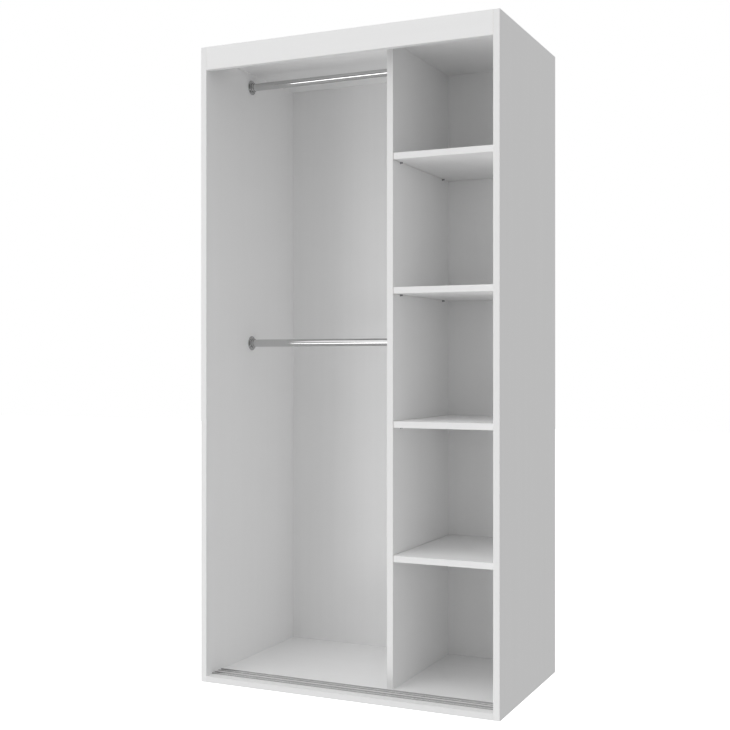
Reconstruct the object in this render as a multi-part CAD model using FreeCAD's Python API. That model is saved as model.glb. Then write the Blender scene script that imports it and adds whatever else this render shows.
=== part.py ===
import FreeCAD, Part
import math
import os
from FreeCAD import Vector

# Tall wardrobe carcass in white melamine-faced board: a hanging bay with two
# rails on the left, five shelf compartments on the right, and the guide tracks
# for a pair of sliding door leaves across the front. The doors are not part of it.
#
# Frame: millimetres, +Z up, the open front faces -Y, the hanging bay is on -X.
# The origin is on the floor, in the middle of the footprint.

# Carcass
WIDTH = 1000.0
HEIGHT = 2030.0
BOARD = 20.0
SIDE_DEPTH = 585.0
BACK_SHEET = 3.0
EDGE_BAND = 1.0
BAND_RADIUS = 0.8
TOP_DROP = 4.0              # the top board lies this far below the tops of the sides
FASCIA_HEIGHT = 73.0
DOOR_SPACE = 105.0          # depth kept free for the doors in front of the divider
HANGING_BAY = 584.0         # clear width of the left-hand bay
BACK_MARGIN = 2.0           # back sheets end this far inside the carcass outline
BACK_JOINT = 1.0            # gap between the two back sheets, behind the divider

# Shelves
SHELF_COUNT = 4
SHELF_PITCH = 411.0
SHELF_SIDE_GAP = 1.5
SHELF_REAR_GAP = 1.0
PIN_INSET = 58.0            # pin centre to the front or rear end of the inner boards
PIN_RADIUS = 2.5
PIN_REACH = 8.0
PIN_DEPTH = 9.0
PIN_COLLAR_RADIUS = 3.5
PIN_COLLAR = 1.0

# Hanging rails
RAIL_RADIUS = 12.5
RAIL_WALL = 1.0
RAIL_FROM_FRONT = 287.0
RAIL_HEIGHTS = {"upper": 1961.0, "lower": 1088.0}
SOCKET_CLEARANCE = 0.05
RAIL_END_GAP = 0.5
FLANGE_RADIUS = 24.0
FLANGE_FLOOR = 2.0
FLANGE_RIM = 2.6
COLLAR_RADIUS = 15.0
COLLAR_LENGTH = 12.5
FLANGE_SCREW_CIRCLE = 20.3

# Door guide tracks
TRACK_WIDTH = 18.0
TRACK_HEIGHT = 4.0
TRACK_WALL = 1.2
TRACK_FROM_FRONT = {"front": 34.0, "rear": 73.0}
TRACK_SCREWS = 5
TOP_TRACK_FROM_FRONT = 22.0
TOP_TRACK_WIDTH = 80.0
TOP_TRACK_HEIGHT = 22.0
TOP_TRACK_WALL = 2.0
TOP_TRACK_SCREWS = 4
TRACK_END_INSET = 60.0      # track end to the centre of the first screw

# Board fixings
CAM_BACKSET = 34.0
CAM_RADIUS = 7.5
CAM_HEIGHT = 13.5
CAM_BORE_DEPTH = 14.5
BOLT_RADIUS = 3.0
BOLT_BORE_RADIUS = 4.0
BOLT_DEPTH = 10.0
DOWEL_RADIUS = 4.0
DOWEL_LENGTH = 30.0
DOWEL_IN_SIDE = 10.0
FIT_CLEARANCE = 0.05        # radial play of a fixing in its own hole
CONFIRMAT_LENGTH = 50.0
CONFIRMAT_RADIUS = 3.5
CONFIRMAT_HEAD_RADIUS = 5.0
CONFIRMAT_HEAD = 4.0
CAM_FROM_FRONT = (120.0, 525.0)
DOWEL_FROM_FRONT = (152.0, 493.0)
CONFIRMAT_FROM_FRONT = (185.0, 345.0, 505.0)
NAIL_HEAD_RADIUS = 1.6
NAIL_HEAD = 0.5
NAIL_RADIUS = 0.8
NAIL_LENGTH = 20.0
NAIL_SPACING = 150.0

# Places that follow from the dimensions above
FRONT = -(SIDE_DEPTH + BACK_SHEET) / 2
REAR = FRONT + SIDE_DEPTH
HALF = WIDTH / 2
INNER = HALF - BOARD
INNER_FRONT = FRONT + DOOR_SPACE
BASE_TOP = BOARD
CEILING = HEIGHT - TOP_DROP - BOARD
DIVIDER_LEFT = -INNER + HANGING_BAY
DIVIDER_RIGHT = DIVIDER_LEFT + BOARD
DIVIDER_MIDDLE = DIVIDER_LEFT + BOARD / 2
FASCIA_BOTTOM = HEIGHT - FASCIA_HEIGHT
SHELF_TOPS = [BASE_TOP + SHELF_PITCH * (k + 1) for k in range(SHELF_COUNT)]
PIN_PLACES = (INNER_FRONT + PIN_INSET, REAR - PIN_INSET)
RAIL_Y = FRONT + RAIL_FROM_FRONT

X_AXIS = Vector(1, 0, 0)
Y_AXIS = Vector(0, 1, 0)
Z_AXIS = Vector(0, 0, 1)
ORIGIN = Vector(0, 0, 0)


# ---------------------------------------------------------------- helpers

def block(x0, x1, y0, y1, z0, z1):
    """Rectangular block between two opposite corners."""
    return Part.makeBox(x1 - x0, y1 - y0, z1 - z0, Vector(x0, y0, z0))


def rod(radius, length, start, axis):
    """Solid cylinder of the given length, from start along axis."""
    return Part.makeCylinder(radius, length, start, axis)


def placed(shape, origin, spin=0.0, roll=0.0):
    """Copy of a shape rolled about X, spun about Z, then moved to origin."""
    moved = shape.copy()
    moved.rotate(ORIGIN, X_AXIS, roll)
    moved.rotate(ORIGIN, Z_AXIS, spin)
    moved.translate(origin)
    return moved


def drilled(board, holes):
    """Board with all the holes cut out of it."""
    return board.cut(Part.makeCompound(holes)) if holes else board


def edges_along(shape, axis, test):
    """Straight edges parallel to axis whose middle passes the test."""
    found = []
    for edge in shape.Edges:
        ends = [vertex.Point for vertex in edge.Vertexes]
        along = (ends[1] - ends[0]).normalize()
        if abs(along.dot(axis)) > 0.999 and test((ends[0] + ends[1]) * 0.5):
            found.append(edge)
    return found


def front_band(x0, x1, y0, z0, z1):
    """Edge band on a front edge, with its two long outer corners eased."""
    band = block(x0, x1, y0, y0 + EDGE_BAND, z0, z1)
    long_axis = Z_AXIS if z1 - z0 > x1 - x0 else X_AXIS
    corners = edges_along(band, long_axis, lambda middle: middle.y < y0 + EDGE_BAND / 2)
    return band.makeFillet(BAND_RADIUS, corners)


# ---------------------------------------------------------------- fixings

def cam_disc():
    """Cam disc with a cross slot and the pocket that takes the bolt head.

    Local frame of every board joint: the board's end face is at x = 0, the
    board runs towards +X with its middle plane at z = 0, and the cam is let in
    from the face at z = -BOARD / 2.
    """
    bottom = -BOARD / 2 + (CAM_BORE_DEPTH - CAM_HEIGHT)
    centre = Vector(CAM_BACKSET, 0, bottom)
    disc = rod(CAM_RADIUS - FIT_CLEARANCE, CAM_HEIGHT, centre, Z_AXIS)
    pocket_radius = BOLT_RADIUS + 0.7
    pocket = rod(pocket_radius, CAM_RADIUS + 5, Vector(CAM_BACKSET - CAM_RADIUS - 1, 0, 0), X_AXIS)
    slot_half = 0.7
    arm = 4.5
    slot_depth = 2.0
    slot = [
        block(CAM_BACKSET - arm, CAM_BACKSET + arm, -slot_half, slot_half,
              bottom, bottom + slot_depth),
        block(CAM_BACKSET - slot_half, CAM_BACKSET + slot_half, -arm, arm,
              bottom, bottom + slot_depth),
    ]
    return drilled(disc, [pocket] + slot)


def cam_bolt():
    """Bolt screwed into the side board, with its necked head inside the cam."""
    thread = rod(BOLT_RADIUS - FIT_CLEARANCE, BOLT_DEPTH, Vector(-BOLT_DEPTH, 0, 0), X_AXIS)
    neck_start = CAM_BACKSET - CAM_RADIUS + 1.5
    shank = rod(BOLT_RADIUS, neck_start, ORIGIN, X_AXIS)
    neck = rod(BOLT_RADIUS * 0.6, 3.5, Vector(neck_start, 0, 0), X_AXIS)
    head = rod(BOLT_RADIUS, 4.0, Vector(neck_start + 3.5, 0, 0), X_AXIS)
    return thread.fuse([shank, neck, head]).removeSplitter()


def cam_holes():
    """Holes for one cam joint: in the side board, and in the joined board."""
    in_side = rod(BOLT_RADIUS, BOLT_DEPTH + 0.5, Vector(-BOLT_DEPTH - 0.5, 0, 0), X_AXIS)
    bolt_bore = rod(BOLT_BORE_RADIUS, CAM_BACKSET, ORIGIN, X_AXIS)
    cam_bore = rod(CAM_RADIUS, CAM_BORE_DEPTH, Vector(CAM_BACKSET, 0, -BOARD / 2), Z_AXIS)
    return in_side, bolt_bore.fuse(cam_bore)


def dowel():
    """Hardwood dowel with chamfered ends, part in the side board and part beyond."""
    start = Vector(-DOWEL_IN_SIDE, 0, 0)
    peg = rod(DOWEL_RADIUS - FIT_CLEARANCE, DOWEL_LENGTH, start, X_AXIS)
    rims = [edge for edge in peg.Edges if edge.Closed]
    return peg.makeChamfer(1.0, rims)


def dowel_holes():
    """Holes for one dowel: in the side board, and in the joined board."""
    spare = 0.5
    in_side = rod(DOWEL_RADIUS, DOWEL_IN_SIDE + spare, Vector(-DOWEL_IN_SIDE - spare, 0, 0), X_AXIS)
    in_board = rod(DOWEL_RADIUS, DOWEL_LENGTH - DOWEL_IN_SIDE + spare, ORIGIN, X_AXIS)
    return in_side, in_board


def confirmat():
    """Confirmat screw pointing up from z = 0, with a hex socket in its flat head."""
    play = FIT_CLEARANCE
    head = rod(CONFIRMAT_HEAD_RADIUS - play, CONFIRMAT_HEAD - play, ORIGIN, Z_AXIS)
    point_length = 4.0
    shank_end = Vector(0, 0, CONFIRMAT_LENGTH - point_length)
    shank = rod(CONFIRMAT_RADIUS - play, CONFIRMAT_LENGTH - point_length, ORIGIN, Z_AXIS)
    point = Part.makeCone(CONFIRMAT_RADIUS - play, 1.0, point_length, shank_end, Z_AXIS)
    socket = hex_prism(2.0, 2.5)
    return head.fuse([shank, point]).cut(socket)


def hex_prism(across_half, height):
    """Hexagonal prism rising from the origin, half its width across flats given."""
    corner = across_half / math.cos(math.pi / 6)
    ring = [Vector(corner * math.cos(k * math.pi / 3), corner * math.sin(k * math.pi / 3), 0)
            for k in range(7)]
    return Part.Face(Part.makePolygon(ring)).extrude(Z_AXIS * height)


def confirmat_hole():
    """Stepped hole that one confirmat screw fills."""
    head = rod(CONFIRMAT_HEAD_RADIUS, CONFIRMAT_HEAD, ORIGIN, Z_AXIS)
    return head.fuse(rod(CONFIRMAT_RADIUS, CONFIRMAT_LENGTH + 1, ORIGIN, Z_AXIS))


def countersunk_screw(head_radius, head_height, body_radius, length):
    """Countersunk screw with a cross recess: head top at z = 0, point towards -Z."""
    head = Part.makeCone(head_radius, body_radius, head_height, ORIGIN, -Z_AXIS)
    point_length = 3.0
    body_length = length - head_height - point_length
    body = rod(body_radius, body_length, Vector(0, 0, -head_height), -Z_AXIS)
    point = Part.makeCone(body_radius, 0.3, point_length,
                          Vector(0, 0, -head_height - body_length), -Z_AXIS)
    arm = head_radius * 0.6
    half = head_radius * 0.12
    depth = head_height * 0.6
    cross = [block(-arm, arm, -half, half, -depth, 1), block(-half, half, -arm, arm, -depth, 1)]
    return drilled(head.fuse([body, point]), cross)


def countersink(head_radius, head_height, body_radius, length):
    """Clearance for a countersunk screw, opening upwards from z = 0."""
    play = FIT_CLEARANCE
    cone = Part.makeCone(head_radius + play, body_radius + play, head_height + play, ORIGIN, -Z_AXIS)
    return cone.fuse(rod(body_radius + play, length, ORIGIN, -Z_AXIS))


# ---------------------------------------------------------------- joint places

def board_joint_places():
    """Every joint of a cross board to a side board, as board name, kind and placement."""
    boards = [
        ("base", Vector(0, 0, BOARD / 2), 0.0),
        ("top", Vector(0, 0, CEILING + BOARD / 2), 180.0),
    ]
    places = []
    for name, middle, roll in boards:
        for kind, distances in (("cam", CAM_FROM_FRONT), ("dowel", DOWEL_FROM_FRONT)):
            for distance in distances:
                for side, spin in ((-1, 0.0), (1, 180.0)):
                    origin = middle + Vector(side * INNER, FRONT + distance, 0)
                    places.append((name, kind, side, origin, spin, roll))
    fascia_y = FRONT + BOARD / 2
    for kind, z in (("cam", FASCIA_BOTTOM + 25), ("dowel", FASCIA_BOTTOM + 57)):
        for side, spin, roll in ((-1, 0.0, 90.0), (1, 180.0, -90.0)):
            places.append(("fascia", kind, side, Vector(side * INNER, fascia_y, z), spin, roll))
    return places


def joint_holes(board=None, side=None):
    """Holes that the board joints need in one cross board or in one side board."""
    holes = []
    for name, kind, at_side, origin, spin, roll in board_joint_places():
        in_side, in_board = cam_holes() if kind == "cam" else dowel_holes()
        if name == board:
            holes.append(placed(in_board, origin, spin, roll))
        if at_side == side:
            holes.append(placed(in_side, origin, spin, roll))
    return holes


def joint_fixings(kind, shape):
    """All fixings of one kind, each at its joint."""
    return [placed(shape, origin, spin, roll)
            for _, at_kind, _, origin, spin, roll in board_joint_places() if at_kind == kind]


def confirmat_places():
    """Confirmat screws into the divider's two ends, as origin and roll."""
    places = []
    for distance in CONFIRMAT_FROM_FRONT:
        places.append((Vector(DIVIDER_MIDDLE, FRONT + distance, 0), 0.0))
        places.append((Vector(DIVIDER_MIDDLE, FRONT + distance, CEILING + BOARD), 180.0))
    return places


def confirmat_holes():
    return [placed(confirmat_hole(), origin, 0.0, roll) for origin, roll in confirmat_places()]


def pin_hole_places(face_x, outward):
    """Shelf pin axes on one face: outward is +1 where the pins point to +X."""
    places = []
    for top in SHELF_TOPS:
        for y in PIN_PLACES:
            places.append((Vector(face_x, y, top - BOARD - PIN_RADIUS), outward))
    return places


def pin_holes(face_x, outward):
    holes = []
    for origin, direction in pin_hole_places(face_x, outward):
        holes.append(rod(PIN_RADIUS + FIT_CLEARANCE, PIN_DEPTH + 0.5, origin, X_AXIS * -direction))
    return holes


# ---------------------------------------------------------------- boards

def side_panel(side):
    """Full-height side board; side is -1 for left, +1 for right."""
    x0, x1 = sorted((side * INNER, side * HALF))
    board = block(x0, x1, FRONT + EDGE_BAND, REAR, 0, HEIGHT)
    holes = joint_holes(side=side)
    if side > 0:
        holes += pin_holes(INNER, -1)
    return drilled(board, holes)


def side_edge(side):
    x0, x1 = sorted((side * INNER, side * HALF))
    return front_band(x0, x1, FRONT, 0, HEIGHT)


def base_panel():
    board = block(-INNER, INNER, FRONT + EDGE_BAND, REAR, 0, BASE_TOP)
    return drilled(board, joint_holes(board="base") + confirmat_holes())


def top_panel():
    board = block(-INNER, INNER, FRONT + BOARD, REAR, CEILING, CEILING + BOARD)
    return drilled(board, joint_holes(board="top") + confirmat_holes())


def divider_panel():
    board = block(DIVIDER_LEFT, DIVIDER_RIGHT, INNER_FRONT + EDGE_BAND, REAR, BASE_TOP, CEILING)
    return drilled(board, pin_holes(DIVIDER_RIGHT, 1) + confirmat_holes())


def fascia_panel():
    """Upright board across the top of the front, hiding the upper door track."""
    board = block(-INNER, INNER, FRONT, FRONT + BOARD, FASCIA_BOTTOM + EDGE_BAND, HEIGHT)
    return drilled(board, joint_holes(board="fascia"))


def fascia_edge():
    """Band under the fascia, with both long lower corners eased."""
    band = block(-INNER, INNER, FRONT, FRONT + BOARD, FASCIA_BOTTOM, FASCIA_BOTTOM + EDGE_BAND)
    corners = edges_along(band, X_AXIS, lambda middle: middle.z < FASCIA_BOTTOM + EDGE_BAND / 2)
    return band.makeFillet(BAND_RADIUS, corners)


def shelf_board(top):
    return block(DIVIDER_RIGHT + SHELF_SIDE_GAP, INNER - SHELF_SIDE_GAP,
                 INNER_FRONT + EDGE_BAND, REAR - SHELF_REAR_GAP, top - BOARD, top)


def shelf_edge(top):
    return front_band(DIVIDER_RIGHT + SHELF_SIDE_GAP, INNER - SHELF_SIDE_GAP,
                      INNER_FRONT, top - BOARD, top)


def shelf_pins():
    """Sixteen steel pins, four under each shelf."""
    places = pin_hole_places(DIVIDER_RIGHT, 1) + pin_hole_places(INNER, -1)
    pins = []
    for origin, direction in places:
        outward = X_AXIS * direction
        root = origin - outward * PIN_DEPTH
        nose = rod(PIN_RADIUS, PIN_DEPTH + PIN_REACH, root, outward)
        tip = [edge for edge in nose.Edges
               if edge.Closed and abs(edge.CenterOfMass.x - origin.x) > PIN_REACH - 0.1
               and (edge.CenterOfMass.x - origin.x) * direction > 0]
        nose = nose.makeFillet(0.8, tip)
        collar = rod(PIN_COLLAR_RADIUS, PIN_COLLAR, origin, outward)
        pins.append(nose.fuse(collar).removeSplitter())
    return pins


# ---------------------------------------------------------------- back

def back_spans():
    """Left and right ends of the two back sheets."""
    outer = HALF - BACK_MARGIN
    return {"left": (-outer, DIVIDER_MIDDLE - BACK_JOINT / 2),
            "right": (DIVIDER_MIDDLE + BACK_JOINT / 2, outer)}


def nail_row(start, end):
    """Evenly spaced nail positions from start to end, both included."""
    steps = math.ceil((end - start) / NAIL_SPACING)
    return [start + (end - start) * k / steps for k in range(steps + 1)]


def nail_places():
    """Nail axes on the rear face: up the sides and divider, along base and top."""
    low = BOARD / 2
    high = CEILING + BOARD / 2
    edge = HALF - BOARD / 2
    at_joint = 5.0
    columns = [-edge, DIVIDER_MIDDLE - at_joint, DIVIDER_MIDDLE + at_joint, edge]
    places = [(x, z) for x in columns for z in nail_row(low, high)]
    for start, end in ((columns[0], columns[1]), (columns[2], columns[3])):
        for x in nail_row(start, end)[1:-1]:
            places += [(x, low), (x, high)]
    return places


def back_sheet(name):
    """Hardboard sheet with a shallow seat for each nail head."""
    x0, x1 = back_spans()[name]
    sheet = block(x0, x1, REAR, REAR + BACK_SHEET, BACK_MARGIN, HEIGHT - BACK_MARGIN)
    seats = [rod(NAIL_HEAD_RADIUS + FIT_CLEARANCE, NAIL_HEAD, Vector(x, REAR + BACK_SHEET, z), -Y_AXIS)
             for x, z in nail_places() if x0 < x < x1]
    return drilled(sheet, seats)


def back_nails():
    """Round nails with flat heads, driven flush into the back sheets."""
    nails = []
    for x, z in nail_places():
        face = Vector(x, REAR + BACK_SHEET, z)
        head = rod(NAIL_HEAD_RADIUS, NAIL_HEAD, face, -Y_AXIS)
        nails.append(head.fuse(rod(NAIL_RADIUS, NAIL_LENGTH, face, -Y_AXIS)).removeSplitter())
    return nails


# ---------------------------------------------------------------- hanging rails

FLANGE_SCREW = dict(head_radius=2.7, head_height=1.6, body_radius=1.5, length=16.0)


def flange_screw_spots():
    """Three screw positions on the flange disc, as points in the local YZ plane."""
    return [Vector(0, FLANGE_SCREW_CIRCLE * math.sin(angle), FLANGE_SCREW_CIRCLE * math.cos(angle))
            for angle in (math.radians(step) for step in (0, 120, 240))]


def facing_x(shape, spot, height):
    """Turn a screw that points to -Z so that it points to -X, head at x = height."""
    turned = shape.copy()
    turned.rotate(ORIGIN, Y_AXIS, 90)
    turned.translate(spot + Vector(height, 0, 0))
    return turned


def rail_flange():
    """Round wall flange with a blind socket; its back is at x = 0, socket to +X."""
    rim_round = 1.2
    root = 2.2
    bore = RAIL_RADIUS + SOCKET_CLEARANCE
    lip = 0.7
    diagonal = math.sqrt(0.5)
    corner = Vector(FLANGE_RIM - rim_round, 0, FLANGE_RADIUS - rim_round)
    hollow = Vector(FLANGE_RIM + root, 0, COLLAR_RADIUS + root)
    points = {
        "back": Vector(0, 0, FLANGE_RADIUS),
        "rim": Vector(corner.x, 0, FLANGE_RADIUS),
        "rim_mid": corner + Vector(diagonal, 0, diagonal) * rim_round,
        "face": Vector(FLANGE_RIM, 0, corner.z),
        "root": Vector(FLANGE_RIM, 0, hollow.z),
        "root_mid": hollow - Vector(diagonal, 0, diagonal) * root,
        "collar": Vector(hollow.x, 0, COLLAR_RADIUS),
        "end": Vector(COLLAR_LENGTH - lip, 0, COLLAR_RADIUS),
        "lip": Vector(COLLAR_LENGTH, 0, COLLAR_RADIUS - lip),
        "mouth": Vector(COLLAR_LENGTH, 0, bore),
        "floor": Vector(FLANGE_FLOOR, 0, bore),
        "centre": Vector(FLANGE_FLOOR, 0, 0),
    }
    outline = [
        Part.LineSegment(ORIGIN, points["back"]).toShape(),
        Part.LineSegment(points["back"], points["rim"]).toShape(),
        Part.Arc(points["rim"], points["rim_mid"], points["face"]).toShape(),
        Part.LineSegment(points["face"], points["root"]).toShape(),
        Part.Arc(points["root"], points["root_mid"], points["collar"]).toShape(),
        Part.LineSegment(points["collar"], points["end"]).toShape(),
        Part.LineSegment(points["end"], points["lip"]).toShape(),
        Part.LineSegment(points["lip"], points["mouth"]).toShape(),
        Part.LineSegment(points["mouth"], points["floor"]).toShape(),
        Part.LineSegment(points["floor"], points["centre"]).toShape(),
        Part.LineSegment(points["centre"], ORIGIN).toShape(),
    ]
    body = Part.Face(Part.Wire(outline)).revolve(ORIGIN, X_AXIS, 360)
    holes = [facing_x(countersink(**FLANGE_SCREW), spot, FLANGE_RIM) for spot in flange_screw_spots()]
    return drilled(Part.Solid(body), holes)


def flange_places():
    """Flange name, origin and spin for both ends of both rails."""
    places = []
    for level, z in RAIL_HEIGHTS.items():
        places.append((level + "_left", Vector(-INNER, RAIL_Y, z), 0.0))
        places.append((level + "_right", Vector(DIVIDER_LEFT, RAIL_Y, z), 180.0))
    return places


def flange_screws():
    screw = countersunk_screw(**FLANGE_SCREW)
    return [placed(facing_x(screw, spot, FLANGE_RIM), origin, spin)
            for _, origin, spin in flange_places() for spot in flange_screw_spots()]


def hanging_rail(z):
    """Round tube between two flange sockets, free to turn in them."""
    start = -INNER + FLANGE_FLOOR + RAIL_END_GAP
    length = HANGING_BAY - 2 * (FLANGE_FLOOR + RAIL_END_GAP)
    origin = Vector(start, RAIL_Y, z)
    return rod(RAIL_RADIUS, length, origin, X_AXIS).cut(
        rod(RAIL_RADIUS - RAIL_WALL, length, origin, X_AXIS))


# ---------------------------------------------------------------- door tracks

TRACK_SCREW = dict(head_radius=3.0, head_height=1.1, body_radius=1.6, length=15.0)


def screw_row(count):
    """X positions of the screws along a full-width track."""
    first = -INNER + TRACK_END_INSET
    return [first + (INNER - TRACK_END_INSET - first) * k / (count - 1) for k in range(count)]


def bottom_track(distance):
    """Shallow U channel screwed to the base; the wheels of one door run in it."""
    y0 = FRONT + distance
    y1 = y0 + TRACK_WIDTH
    outside = block(-INNER, INNER, y0, y1, BASE_TOP, BASE_TOP + TRACK_HEIGHT)
    shoulders = edges_along(outside, X_AXIS, lambda middle: middle.z > BASE_TOP + TRACK_HEIGHT / 2)
    outside = outside.makeFillet(TRACK_WALL * 0.45, shoulders)
    channel = block(-INNER, INNER, y0 + TRACK_WALL, y1 - TRACK_WALL,
                    BASE_TOP + TRACK_WALL, BASE_TOP + TRACK_HEIGHT)
    middle = (y0 + y1) / 2
    holes = [placed(countersink(**TRACK_SCREW), Vector(x, middle, BASE_TOP + TRACK_WALL))
             for x in screw_row(TRACK_SCREWS)]
    return drilled(outside, [channel] + holes)


def bottom_track_screws():
    screw = countersunk_screw(**TRACK_SCREW)
    return [placed(screw, Vector(x, FRONT + distance + TRACK_WIDTH / 2, BASE_TOP + TRACK_WALL))
            for distance in TRACK_FROM_FRONT.values() for x in screw_row(TRACK_SCREWS)]


def top_channels():
    """Front and rear faces of the two upper channels."""
    width = (TOP_TRACK_WIDTH - 3 * TOP_TRACK_WALL) / 2
    first = FRONT + TOP_TRACK_FROM_FRONT + TOP_TRACK_WALL
    second = first + width + TOP_TRACK_WALL
    return [(first, first + width), (second, second + width)]


def top_track():
    """Double channel under the top board; the door tops are guided in it."""
    y0 = FRONT + TOP_TRACK_FROM_FRONT
    bottom = CEILING - TOP_TRACK_HEIGHT
    web = CEILING - TOP_TRACK_WALL
    bar = block(-INNER, INNER, y0, y0 + TOP_TRACK_WIDTH, bottom, CEILING)
    channels = [block(-INNER, INNER, near, far, bottom, web) for near, far in top_channels()]
    holes = [placed(countersink(**TRACK_SCREW), Vector(x, (near + far) / 2, web), 0.0, 180.0)
             for near, far in top_channels() for x in screw_row(TOP_TRACK_SCREWS)]
    return drilled(bar, channels + holes)


def top_track_screws():
    screw = countersunk_screw(**TRACK_SCREW)
    return [placed(screw, Vector(x, (near + far) / 2, CEILING - TOP_TRACK_WALL), 0.0, 180.0)
            for near, far in top_channels() for x in screw_row(TOP_TRACK_SCREWS)]


# ---------------------------------------------------------------- assembly

def carcass_nodes():
    return {
        "side_panel_left": side_panel(-1),
        "side_panel_right": side_panel(1),
        "side_edge_left": side_edge(-1),
        "side_edge_right": side_edge(1),
        "base_panel": base_panel(),
        "base_edge": front_band(-INNER, INNER, FRONT, 0, BASE_TOP),
        "top_panel": top_panel(),
        "divider_panel": divider_panel(),
        "divider_edge": front_band(DIVIDER_LEFT, DIVIDER_RIGHT, INNER_FRONT, BASE_TOP, CEILING),
        "fascia_panel": fascia_panel(),
        "fascia_edge": fascia_edge(),
        "back_sheet_left": back_sheet("left"),
        "back_sheet_right": back_sheet("right"),
    }


def shelf_nodes():
    nodes = {}
    for number, top in enumerate(SHELF_TOPS, start=1):
        nodes["shelf_%d" % number] = shelf_board(top)
        nodes["shelf_%d_edge" % number] = shelf_edge(top)
    return nodes


def rail_nodes():
    nodes = {"hanging_rail_" + level: hanging_rail(z) for level, z in RAIL_HEIGHTS.items()}
    for name, origin, spin in flange_places():
        nodes["rail_flange_" + name] = placed(rail_flange(), origin, spin)
    return nodes


def track_nodes():
    nodes = {"bottom_track_" + name: bottom_track(distance)
             for name, distance in TRACK_FROM_FRONT.items()}
    nodes["top_track"] = top_track()
    return nodes


def fixing_nodes():
    """Groups of identical fixings, each group a set of separate solids."""
    screws = [placed(confirmat(), origin, 0.0, roll) for origin, roll in confirmat_places()]
    groups = {
        "shelf_pins": shelf_pins(),
        "flange_screws": flange_screws(),
        "bottom_track_screws": bottom_track_screws(),
        "top_track_screws": top_track_screws(),
        "cam_discs": joint_fixings("cam", cam_disc()),
        "cam_bolts": joint_fixings("cam", cam_bolt()),
        "dowels": joint_fixings("dowel", dowel()),
        "divider_screws": screws,
        "back_nails": back_nails(),
    }
    return {name: Part.makeCompound(shapes) for name, shapes in groups.items()}


def main():
    os.makedirs("parts", exist_ok=True)
    for nodes in (carcass_nodes(), shelf_nodes(), rail_nodes(), track_nodes(), fixing_nodes()):
        for name, shape in nodes.items():
            if not shape.isValid():
                raise ValueError("invalid solid: " + name)
            shape.exportStep(os.path.join("parts", name + ".step"))
            print(name, len(shape.Solids), "solids", round(shape.Volume / 1000.0, 1), "cm3")


main()
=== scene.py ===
import math

import bpy
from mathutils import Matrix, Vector


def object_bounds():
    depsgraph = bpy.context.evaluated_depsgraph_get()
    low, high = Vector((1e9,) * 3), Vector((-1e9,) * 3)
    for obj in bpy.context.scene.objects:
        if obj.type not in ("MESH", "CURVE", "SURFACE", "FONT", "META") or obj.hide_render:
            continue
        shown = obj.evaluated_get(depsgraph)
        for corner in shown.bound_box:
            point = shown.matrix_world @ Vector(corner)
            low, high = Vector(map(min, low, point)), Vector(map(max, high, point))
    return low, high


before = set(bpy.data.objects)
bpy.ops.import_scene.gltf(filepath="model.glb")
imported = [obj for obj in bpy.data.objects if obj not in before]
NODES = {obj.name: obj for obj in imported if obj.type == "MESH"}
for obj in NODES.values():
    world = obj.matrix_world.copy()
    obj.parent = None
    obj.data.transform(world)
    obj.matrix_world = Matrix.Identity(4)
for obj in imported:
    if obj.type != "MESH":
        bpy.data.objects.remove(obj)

# Wardrobe carcass: white melamine boards, chrome rails, aluminium door tracks.
# Metres, in the part's own frame: +Z up, the open front faces -Y.

cad_low, cad_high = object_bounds()
CENTRE = (cad_low + cad_high) / 2

# ---------------------------------------------------------------- camera

CAMERA_PLACE = Vector((1.5368, -3.4663, 1.0210))
CAMERA_TURN = 0.431
CAMERA_LENS = 57.48
CAMERA_SHIFT = -0.003


def make_camera():
    """Level camera at eye height, to the right of the front."""
    data = bpy.data.cameras.new("camera")
    data.lens = CAMERA_LENS
    data.sensor_width = 36.0
    data.shift_y = CAMERA_SHIFT
    camera = bpy.data.objects.new("camera", data)
    camera.location = CAMERA_PLACE
    camera.rotation_euler = (math.pi / 2, 0, CAMERA_TURN)
    bpy.context.scene.collection.objects.link(camera)
    bpy.context.scene.camera = camera


# ---------------------------------------------------------------- stage and light

FLOOR_REACH = 14.0
FLOOR_GLOW = 0.9
AMBIENT = 0.518
LAMP_DISTANCE = 4
LIGHTS = {
    "overhead": dict(azimuth=0, elevation=80, spread=40, strength=0.604),
    "high_left": dict(azimuth=-30, elevation=35, spread=40, strength=0.285),
    "left": dict(azimuth=-48, elevation=5, spread=38, strength=0.310),
    "low_left": dict(azimuth=-60, elevation=-25, spread=40, strength=0.700),
    "key": dict(azimuth=-20, elevation=8, spread=12, strength=0.060),
    "low_key": dict(azimuth=-22, elevation=-22, spread=18, strength=0.240),
    "below": dict(azimuth=0, elevation=-80, spread=40, strength=0.080),
}


def make_light(name, azimuth, elevation, spread, strength):
    """Soft distant light, in degrees: azimuth 0 is the front and + is the wardrobe's right."""
    data = bpy.data.lights.new(name, "SUN")
    data.angle = math.radians(spread)
    data.energy = strength
    lamp = bpy.data.objects.new(name, data)
    turn, rise = math.radians(azimuth), math.radians(elevation)
    level = Vector((math.sin(turn), -math.cos(turn), 0))
    away = level * math.cos(rise) + Vector((0, 0, math.sin(rise)))
    lamp.location = CENTRE + away * LAMP_DISTANCE
    lamp.rotation_euler = away.to_track_quat("Z", "Y").to_euler()
    bpy.context.scene.collection.objects.link(lamp)


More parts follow.
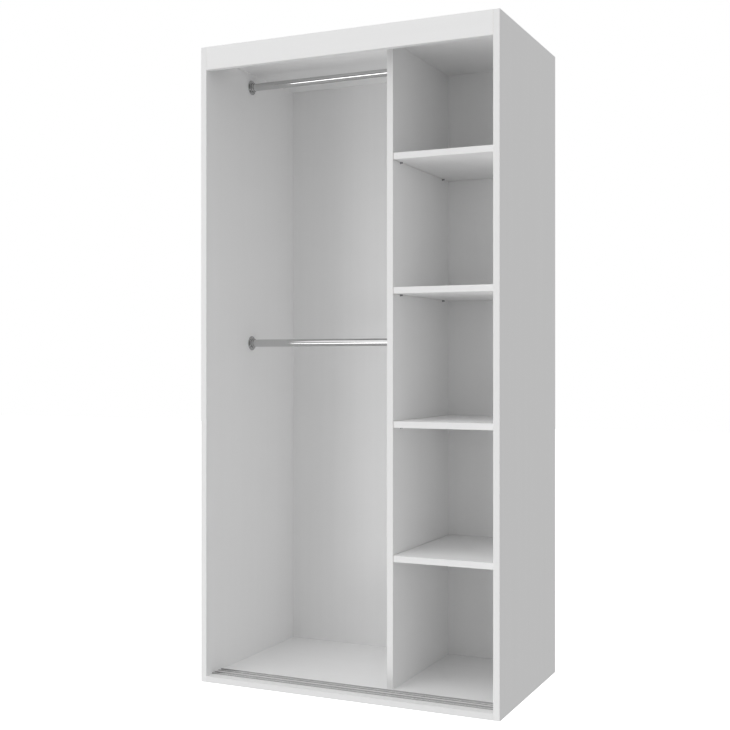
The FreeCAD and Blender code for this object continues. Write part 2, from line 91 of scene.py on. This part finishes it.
def make_world():
    """White surroundings, with a dimmer ambient light from them."""
    world = bpy.data.worlds.new("surroundings")
    bpy.context.scene.world = world
    world.use_nodes = True
    tree = world.node_tree
    tree.nodes.clear()
    output = tree.nodes.new("ShaderNodeOutputWorld")
    mix = tree.nodes.new("ShaderNodeMixShader")
    path = tree.nodes.new("ShaderNodeLightPath")
    ambient = tree.nodes.new("ShaderNodeBackground")
    ambient.inputs["Color"].default_value = (1, 1, 1, 1)
    ambient.inputs["Strength"].default_value = AMBIENT
    ambient.name = "ambient"
    seen = tree.nodes.new("ShaderNodeBackground")
    seen.inputs["Color"].default_value = (1, 1, 1, 1)
    tree.links.new(path.outputs["Is Camera Ray"], mix.inputs["Fac"])
    tree.links.new(ambient.outputs[0], mix.inputs[1])
    tree.links.new(seen.outputs[0], mix.inputs[2])
    tree.links.new(mix.outputs[0], output.inputs["Surface"])


# ---------------------------------------------------------------- materials

class Shader:
    """A principled material under construction, with short calls for its nodes."""

    def __init__(self, name):
        self.material = bpy.data.materials.new(name)
        self.material.use_nodes = True
        self.tree = self.material.node_tree
        self.surface = self.tree.nodes["Principled BSDF"]
        self.where = self.add("ShaderNodeTexCoord").outputs["Object"]

    def add(self, kind, **settings):
        node = self.tree.nodes.new(kind)
        for key, value in settings.items():
            setattr(node, key, value)
        return node

    def feed(self, socket, value):
        if isinstance(value, bpy.types.NodeSocket):
            self.tree.links.new(value, socket)
        else:
            socket.default_value = value

    def stretched(self, scale):
        """Object coordinates scaled by a different amount along each axis."""
        node = self.add("ShaderNodeMapping")
        self.feed(node.inputs["Vector"], self.where)
        node.inputs["Scale"].default_value = scale
        return node.outputs["Vector"]

    def noise(self, scale, detail=3.0, rough=0.55, distortion=0.0, vector=None):
        node = self.add("ShaderNodeTexNoise")
        self.feed(node.inputs["Vector"], vector or self.where)
        node.inputs["Scale"].default_value = scale
        node.inputs["Detail"].default_value = detail
        node.inputs["Roughness"].default_value = rough
        node.inputs["Distortion"].default_value = distortion
        return node.outputs["Fac"]

    def spread(self, value, low, high, to_low=0.0, to_high=1.0):
        node = self.add("ShaderNodeMapRange")
        self.feed(node.inputs["Value"], value)
        node.inputs["From Min"].default_value = low
        node.inputs["From Max"].default_value = high
        node.inputs["To Min"].default_value = to_low
        node.inputs["To Max"].default_value = to_high
        return node.outputs["Result"]

    def tint(self, share, dark, light):
        """Colour between dark and light."""
        node = self.add("ShaderNodeMix", data_type="RGBA")
        self.feed(node.inputs["Factor"], share)
        node.inputs["A"].default_value = (*dark, 1)
        node.inputs["B"].default_value = (*light, 1)
        return node.outputs["Result"]

    def combine(self, how, first, second):
        node = self.add("ShaderNodeMath", operation=how)
        self.feed(node.inputs[0], first)
        self.feed(node.inputs[1], second)
        return node.outputs[0]

    def bump(self, height, distance, strength=1.0):
        node = self.add("ShaderNodeBump")
        node.inputs["Distance"].default_value = distance
        node.inputs["Strength"].default_value = strength
        self.feed(node.inputs["Height"], height)
        self.feed(self.surface.inputs["Normal"], node.outputs["Normal"])

    def finish(self, colour, roughness, **constants):
        self.feed(self.surface.inputs["Base Color"], colour)
        self.feed(self.surface.inputs["Roughness"], roughness)
        for name, value in constants.items():
            self.surface.inputs[name.replace("_", " ")].default_value = value
        return self.material


WHITE = 0.94
EDGING_WHITE = 0.855
# The base's front band is a darker copy of the edging: painted shade on the low front, which gets
# less light from above.
BASE_BAND_SHADED_WHITE = EDGING_WHITE * 0.95
FASCIA_WHITE = EDGING_WHITE * 1.03
BACK_WHITE = WHITE * 0.965


def grey(value):
    return (value, value, value)


def melamine(name, grain, white=WHITE):
    """White melamine with a faint embossed wood grain; grain is the board's long axis."""
    shader = Shader(name)
    along = 1.0
    across = 34.0
    scale = [across] * 3
    scale["XYZ".index(grain)] = along
    broad = shader.noise(1.0, detail=4, rough=0.6, distortion=0.4, vector=shader.stretched(scale))
    fine_scale = [value * 9 for value in scale]
    fine = shader.noise(1.0, detail=3, rough=0.6, vector=shader.stretched(fine_scale))
    grain_height = shader.combine("ADD", shader.combine("MULTIPLY", broad, 0.6), fine)
    colour = shader.tint(shader.spread(broad, 0.3, 0.7), grey(white * 0.985), grey(white))
    roughness = shader.spread(fine, 0.3, 0.7, 0.42, 0.52)
    shader.bump(grain_height, 0.00006)
    return shader.finish(colour, roughness)


def edge_band(name, white=EDGING_WHITE):
    """Smooth plastic edging, a little greyer than the boards."""
    shader = Shader(name)
    tone = shader.noise(60, detail=2)
    colour = shader.tint(tone, grey(white * 0.985), grey(white * 1.01))
    shader.bump(shader.noise(900, detail=2), 0.00002)
    return shader.finish(colour, shader.spread(tone, 0.3, 0.7, 0.36, 0.42))


def chipboard(name):
    """Raw sawn chipboard: pale and dark flakes pressed together."""
    shader = Shader(name)
    flakes = shader.add("ShaderNodeTexVoronoi")
    shader.feed(flakes.inputs["Vector"], shader.stretched((420, 420, 420)))
    flakes.inputs["Scale"].default_value = 1.0
    split = shader.add("ShaderNodeSeparateColor")
    shader.feed(split.inputs[0], flakes.outputs["Color"])
    base = shader.tint(split.outputs[0], (0.33, 0.22, 0.12), (0.62, 0.47, 0.30))
    height = shader.combine("ADD", flakes.outputs["Distance"], shader.noise(700, detail=4))
    shader.bump(height, 0.0004)
    return shader.finish(base, 0.85)


def hardboard(name):
    """Bare brown fibreboard: short pale and dark fibres under the faint print of the press screen."""
    shader = Shader(name)
    cloud = shader.noise(4, detail=3, rough=0.5)
    fibres = shader.stretched((260, 260, 110))
    fibre = shader.noise(1.0, detail=4, rough=0.7, distortion=0.8, vector=fibres)
    fleck = shader.noise(900, detail=2)
    share = shader.combine("ADD", shader.combine("MULTIPLY", cloud, 0.25),
                           shader.combine("MULTIPLY", fibre, 0.75))
    dark, light = (0.235, 0.145, 0.082), (0.375, 0.250, 0.155)
    colour = shader.tint(shader.spread(share, 0.36, 0.64), dark, light)
    shader.bump(shader.combine("ADD", fibre, fleck), 0.00012)
    return shader.finish(colour, shader.spread(fleck, 0.3, 0.7, 0.6, 0.75))


METAL_SCRATCH = 0.00001


def metal(name, tone, rough_low, rough_high, brush=None):
    """Metal with faint scratches, drawn out along brush where it is given."""
    shader = Shader(name)
    scale = [900.0] * 3
    if brush:
        scale["XYZ".index(brush)] = 6.0
    scratch = shader.noise(1.0, detail=3, vector=shader.stretched(scale))
    smudge = shader.noise(25, detail=3)
    colour = shader.tint(smudge, [value * 0.96 for value in tone], tone)
    shader.bump(scratch, METAL_SCRATCH)
    wear = shader.combine("ADD", scratch, smudge)
    roughness = shader.spread(wear, 0.7, 1.3, rough_low, rough_high)
    return shader.finish(colour, roughness, Metallic=1.0)


def beech(name):
    """Turned hardwood, its grain running along X."""
    shader = Shader(name)
    grain = shader.noise(1.0, detail=5, vector=shader.stretched((15, 600, 600)))
    colour = shader.tint(shader.spread(grain, 0.3, 0.7), (0.50, 0.33, 0.18), (0.68, 0.50, 0.31))
    shader.bump(grain, 0.0001)
    return shader.finish(colour, 0.7)


# ---------------------------------------------------------------- finishes of the pieces

LEFT, RIGHT = Vector((-1, 0, 0)), Vector((1, 0, 0))
FRONT, REAR = Vector((0, -1, 0)), Vector((0, 1, 0))
DOWN, UP = Vector((0, 0, -1)), Vector((0, 0, 1))
FLAT = 0.99


def dress(node, *materials):
    """Give a CAD node its materials, in slot order."""
    data = NODES[node].data
    data.materials.clear()
    for material in materials:
        data.materials.append(material)


def dress_faces(node, *directions):
    """Put a node's second material on its flat faces that look in one of the directions."""
    for face in NODES[node].data.polygons:
        if any(face.normal.dot(direction) > FLAT for direction in directions):
            face.material_index = 1


def dress_boards():
    """White boards, with raw chipboard on the cut faces that have no edge band."""
    raw = chipboard("chipboard")
    upright = melamine("melamine_upright", "Z")
    level = melamine("melamine_level", "X")
    for node in ("side_panel_left", "side_panel_right", "divider_panel"):
        dress(node, upright, raw)
        dress_faces(node, REAR, FRONT, DOWN)
    for node in ("base_panel", "top_panel", "shelf_1", "shelf_2", "shelf_3", "shelf_4"):
        dress(node, level, raw)
        dress_faces(node, REAR, FRONT, RIGHT, LEFT)
    dress("fascia_panel", melamine("melamine_fascia", "X", FASCIA_WHITE), raw)
    dress_faces("fascia_panel", RIGHT, LEFT, DOWN)


def dress_edge_bands():
    band = edge_band("edging")
    for node in NODES:
        if node.endswith("_edge") or node.startswith("side_edge"):
            dress(node, band)
    # Darker edging on the base front: painted shade.
    dress("base_edge", edge_band("edging_base_painted_shade", BASE_BAND_SHADED_WHITE))


def dress_back():
    """Back sheets lacquered white inside and left bare behind."""
    inside = melamine("hardboard_lacquered", "Z", BACK_WHITE)
    brown = hardboard("hardboard_bare")
    for node in ("back_sheet_left", "back_sheet_right"):
        dress(node, inside, brown)
        dress_faces(node, REAR, RIGHT, LEFT, UP, DOWN)


def dress_rails():
    tube = metal("chrome_plate", grey(0.61), 0.03, 0.08)
    # The flanges get a darker copy of the chrome: painted shade for the rail ends' shadow and the
    # dark reflections on them.
    shaded_chrome = metal("chrome_flange_painted_shade", grey(0.46), 0.08, 0.16)
    for node in NODES:
        if node.startswith("hanging_rail"):
            dress(node, tube)
        elif node.startswith("rail_flange"):
            dress(node, shaded_chrome)


def dress_tracks():
    """Aluminium channels; their front- and back-facing walls get a darker copy of the aluminium,
    painted shade for the dark lines in the grooves.
    """
    run = metal("satin_aluminium", grey(0.86), 0.18, 0.28, brush="X")
    # Darker aluminium on the channel walls: painted shade in the grooves.
    shaded_wall = metal("aluminium_painted_shade", grey(0.43), 0.30, 0.42, brush="X")
    for node in ("top_track", "bottom_track_front", "bottom_track_rear"):
        dress(node, run, shaded_wall)
        dress_faces(node, REAR, FRONT)


def dress_fixings():
    zinc = metal("zinc_plate", (0.66, 0.67, 0.69), 0.25, 0.4)
    for node in ("flange_screws", "bottom_track_screws", "top_track_screws", "cam_discs",
                 "cam_bolts", "divider_screws", "back_nails"):
        dress(node, zinc)
    dress("shelf_pins", metal("nickel_plate", (0.36, 0.36, 0.37), 0.25, 0.4))
    dress("dowels", beech("beech"))


# ---------------------------------------------------------------- floor

def make_floor():
    """Plain white floor, bright enough to run into the white surroundings without an edge."""
    around = ((-1, -1), (1, -1), (1, 1), (-1, 1))
    corners = [(FLOOR_REACH * x, FLOOR_REACH * y, 0) for x, y in around]
    mesh = bpy.data.meshes.new("floor")
    mesh.from_pydata(corners, [], [(0, 1, 2, 3)])
    floor = bpy.data.objects.new("floor", mesh)
    bpy.context.scene.collection.objects.link(floor)
    shader = Shader("floor_white")
    tone = shader.noise(1.5, detail=2)
    shader.surface.inputs["Emission Color"].default_value = (1, 1, 1, 1)
    shader.surface.inputs["Emission Strength"].default_value = FLOOR_GLOW
    mesh.materials.append(shader.finish(shader.tint(tone, grey(0.88), grey(0.90)), 0.9))
    floor.visible_diffuse = False
    floor.visible_glossy = False
    floor.visible_shadow = False


make_camera()
make_world()
for light_name, light in LIGHTS.items():
    make_light(light_name, **light)
make_floor()
dress_boards()
dress_edge_bands()
dress_back()
dress_rails()
dress_tracks()
dress_fixings()
bpy.context.scene.view_settings.view_transform = "Standard"
